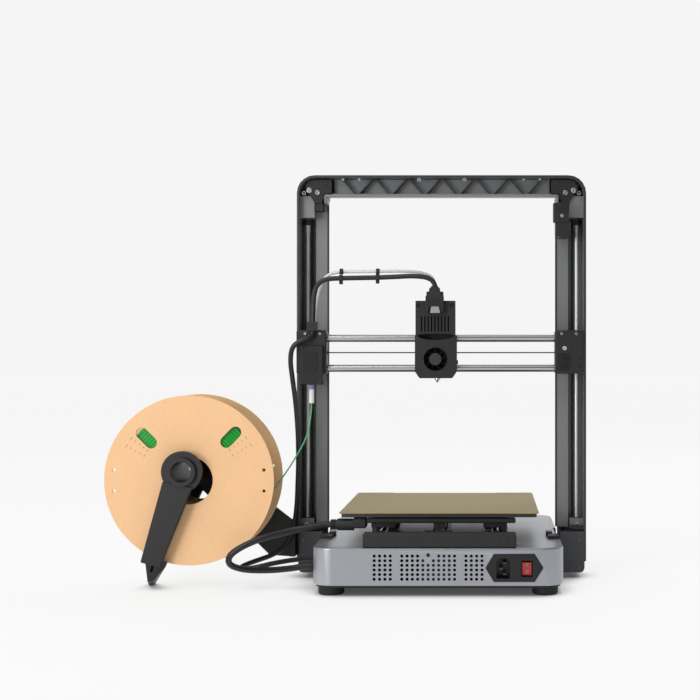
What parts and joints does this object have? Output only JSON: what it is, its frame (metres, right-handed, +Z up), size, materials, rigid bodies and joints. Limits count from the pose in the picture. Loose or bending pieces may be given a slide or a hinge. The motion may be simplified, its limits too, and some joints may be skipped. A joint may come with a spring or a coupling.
{
  "type": "fdm printer",
  "caption": "Desktop FDM 3D printer with an open portal frame, moving bed, belt-driven X/Z gantry, print head and a side stand that carries a spool of filament.",
  "frame": {"origin": "middle of the whole object, spool stand included, on the desk surface", "axes": "+X to the right seen from behind the printer, along its width from the spool to the frame; +Y from the rear with the vents and mains inlet to the front with the screen; +Z up"},
  "size_m": [0.5734, 0.325, 0.4988],
  "materials": {
    "casting": "satin powder coat, dark grey",
    "deck_metal": "satin metallic grey paint",
    "black_plastic": "fine moulded grain",
    "dark_steel": "black oxide",
    "rubber": "matte",
    "rod_steel": "ground and polished",
    "steel": "machined",
    "aluminium": "machined",
    "gold_plate": "textured powder coat, khaki gold",
    "board": "solder mask",
    "cardboard": "kraft card",
    "green_filament": "smooth extruded",
    "red_plastic": "moulded",
    "clear_tube": "translucent white"
  },
  "bodies": {
    "frame": {"base_cover": "deck_metal", "base_plate": "dark_steel", "foot_rear_left": "rubber", "foot_rear_right": "rubber", "foot_front_left": "rubber", "foot_front_right": "rubber", "inlet_panel": "black_plastic", "power_supply": "aluminium", "mainboard": "board", "touchscreen": "black_plastic", "rear_housing": "black_plastic", "y_rod_left": "rod_steel", "y_rod_right": "rod_steel", "y_motor": "dark_steel", "y_belt": "rubber", "portal_frame": "casting", "z_rod_left": "rod_steel", "z_rod_right": "rod_steel", "corner_bracket_left": "dark_steel", "corner_bracket_right": "dark_steel", "xz_motor_left": "dark_steel", "xz_motor_right": "dark_steel", "xz_belt_left": "rubber", "xz_belt_right": "rubber", "motor_cover_left": "dark_steel", "motor_cover_right": "dark_steel", "limit_block": "black_plastic", "spool_holder": "black_plastic", "spool_stand": "black_plastic", "harness": "rubber", "bed_cable": "rubber", "filament_strand": "green_filament"},
    "x_gantry": {"x_block_left": "black_plastic", "x_block_right": "black_plastic", "x_rod_top": "rod_steel", "x_rod_bottom": "rod_steel", "x_belt": "rubber", "filament_sensor": "black_plastic", "head_cable": "rubber", "feed_tube": "clear_tube"},
    "toolhead": {"head_carriage": "black_plastic", "head_housing": "black_plastic", "head_cover": "black_plastic", "hotend": "aluminium", "extruder_motor": "dark_steel", "head_plug": "black_plastic"},
    "bed": {"bed_carriage": "black_plastic", "heated_bed": "aluminium", "build_plate": "gold_plate", "bed_plug": "black_plastic"},
    "spool": {"spool": "cardboard", "filament_winding": "green_filament"},
    "power_switch": {"power_rocker": "red_plastic"},
    "left_pulley": {"xz_pulley_left": "aluminium"},
    "right_pulley": {"xz_pulley_right": "aluminium"},
    "left_idler": {"top_idler_left": "steel"},
    "right_idler": {"top_idler_right": "steel"},
    "bed_pulley": {"y_pulley": "aluminium"},
    "extruder_gear": {"drive_gear": "steel"},
    "fan": {"head_fan": "black_plastic"}
  },
  "joints": [
    {"name": "z_slide", "type": "slide", "parent": "frame", "child": "x_gantry", "axis": [0, 0, 1], "range_m": [-0.151, 0.0985], "deforming": ["harness", "filament_strand"]},
    {"name": "x_slide", "type": "slide", "parent": "x_gantry", "child": "toolhead", "axis": [1, 0, 0], "range_m": [-0.1037, 0.1163], "deforming": ["head_cable", "feed_tube"]},
    {"name": "bed_slide", "type": "slide", "parent": "frame", "child": "bed", "axis": [0, 1, 0], "range_m": [-0.118, 0.102], "deforming": ["bed_cable"]},
    {"name": "spool_spin", "type": "hinge", "parent": "frame", "child": "spool", "pos_m": [-0.18675, -0.079, 0.1279], "axis": [0, 1, 0], "continuous": true},
    {"name": "power_switch_tilt", "type": "hinge", "parent": "frame", "child": "power_switch", "pos_m": [0.20925, -0.157, 0.0321], "axis": [1, 0, 0], "range_deg": [-7, 7]},
    {"name": "left_pulley_spin", "type": "hinge", "parent": "frame", "child": "left_pulley", "pos_m": [-0.05095, 0.002, 0.0335], "axis": [0, 1, 0], "range_deg": [-1600, 1600]},
    {"name": "right_pulley_spin", "type": "hinge", "parent": "frame", "child": "right_pulley", "pos_m": [0.26585, 0.0074, 0.0335], "axis": [0, 1, 0], "range_deg": [-1600, 1600]},
    {"name": "left_idler_spin", "type": "hinge", "parent": "frame", "child": "left_idler", "pos_m": [-0.05095, 0.002, 0.486], "axis": [0, 1, 0], "range_deg": [-1600, 1600]},
    {"name": "right_idler_spin", "type": "hinge", "parent": "frame", "child": "right_idler", "pos_m": [0.26585, 0.0074, 0.486], "axis": [0, 1, 0], "range_deg": [-1600, 1600]},
    {"name": "bed_pulley_spin", "type": "hinge", "parent": "frame", "child": "bed_pulley", "pos_m": [0.10745, -0.137, 0.065], "axis": [0, 0, 1], "range_deg": [-1100, 1100]},
    {"name": "drive_gear_spin", "type": "hinge", "parent": "toolhead", "child": "extruder_gear", "pos_m": [0.10785, -0.016, 0.319], "axis": [0, 1, 0], "continuous": true},
    {"name": "head_fan_spin", "type": "hinge", "parent": "toolhead", "child": "fan", "pos_m": [0.10145, -0.067, 0.2707], "axis": [0, 1, 0], "continuous": true}
  ],
  "couplings": [
    {"joint": "left_pulley_spin", "follows": "z_slide", "rad_per_m": 172.41},
    {"joint": "right_pulley_spin", "follows": "z_slide", "rad_per_m": -172.41},
    {"joint": "left_idler_spin", "follows": "z_slide", "rad_per_m": 172.41},
    {"joint": "right_idler_spin", "follows": "z_slide", "rad_per_m": -172.41},
    {"joint": "bed_pulley_spin", "follows": "bed_slide", "rad_per_m": 144.93}
  ]
}
